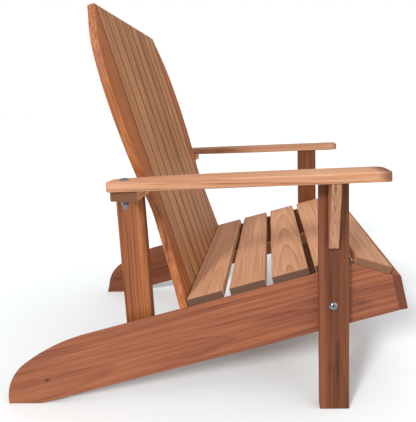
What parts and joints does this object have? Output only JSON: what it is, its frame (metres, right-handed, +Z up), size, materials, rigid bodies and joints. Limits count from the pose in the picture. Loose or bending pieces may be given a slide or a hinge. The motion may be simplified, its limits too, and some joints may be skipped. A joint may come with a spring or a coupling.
{
  "type": "adirondack chair",
  "caption": "Outdoor lounge chair with a reclined, curved slat back, a sloping slat seat, broad flat arms and sled-like side rails, in oiled hardwood planks joined by bolts and screws",
  "frame": {"origin": "on the ground under the middle of the chair's box", "axes": "+X is the way the sitter faces, +Z is up, +Y is the sitter's left"},
  "size_m": [0.9683, 0.711, 0.9728],
  "materials": {
    "frame_wood": "oiled",
    "arm_wood": "oiled",
    "seat_wood": "oiled",
    "back_wood": "oiled",
    "dowel_wood": "sanded",
    "bolt_metal": "polished",
    "screw_metal": "zinc plated"
  },
  "bodies": {
    "root": {"side_rail_right": "frame_wood", "side_rail_left": "frame_wood", "front_leg_right": "frame_wood", "front_leg_left": "frame_wood", "arm_right": "arm_wood", "arm_left": "arm_wood", "arm_bracket_right": "arm_wood", "arm_bracket_left": "arm_wood", "rear_post_right": "frame_wood", "rear_post_left": "frame_wood", "rear_rail": "frame_wood", "back_slat_1": "back_wood", "back_slat_2": "back_wood", "back_slat_3": "back_wood", "back_slat_4": "back_wood", "back_slat_5": "back_wood", "back_slat_6": "back_wood", "back_slat_7": "back_wood", "back_slat_8": "back_wood", "back_slat_9": "back_wood", "back_slat_10": "back_wood", "upper_back_batten": "back_wood", "lower_back_rail": "frame_wood", "seat_slat_1": "seat_wood", "seat_slat_2": "seat_wood", "seat_slat_3": "seat_wood", "seat_slat_4": "seat_wood", "front_slope_slat": "seat_wood", "front_apron": "frame_wood", "seat_centre_support": "seat_wood", "seat_block_right_1": "seat_wood", "seat_block_right_2": "seat_wood", "seat_block_right_3": "seat_wood", "seat_block_right_4": "seat_wood", "seat_block_left_1": "seat_wood", "seat_block_left_2": "seat_wood", "seat_block_left_3": "seat_wood", "seat_block_left_4": "seat_wood", "slope_block_right": "seat_wood", "slope_block_left": "seat_wood", "apron_block_right": "seat_wood", "apron_block_left": "seat_wood", "leg_bolts": "bolt_metal", "arm_bolts": "bolt_metal", "bolt_washers": "bolt_metal", "bolt_nuts": "bolt_metal", "bracket_screws": "screw_metal", "seat_screws": "screw_metal", "support_screws": "screw_metal", "block_screws": "screw_metal", "front_slat_screws": "screw_metal", "apron_screws": "screw_metal", "lower_back_screws": "screw_metal", "rear_rail_screws": "screw_metal", "batten_screws": "screw_metal", "post_screws": "screw_metal", "arm_dowels": "dowel_wood", "rail_dowels": "dowel_wood"}
  },
  "joints": []
}
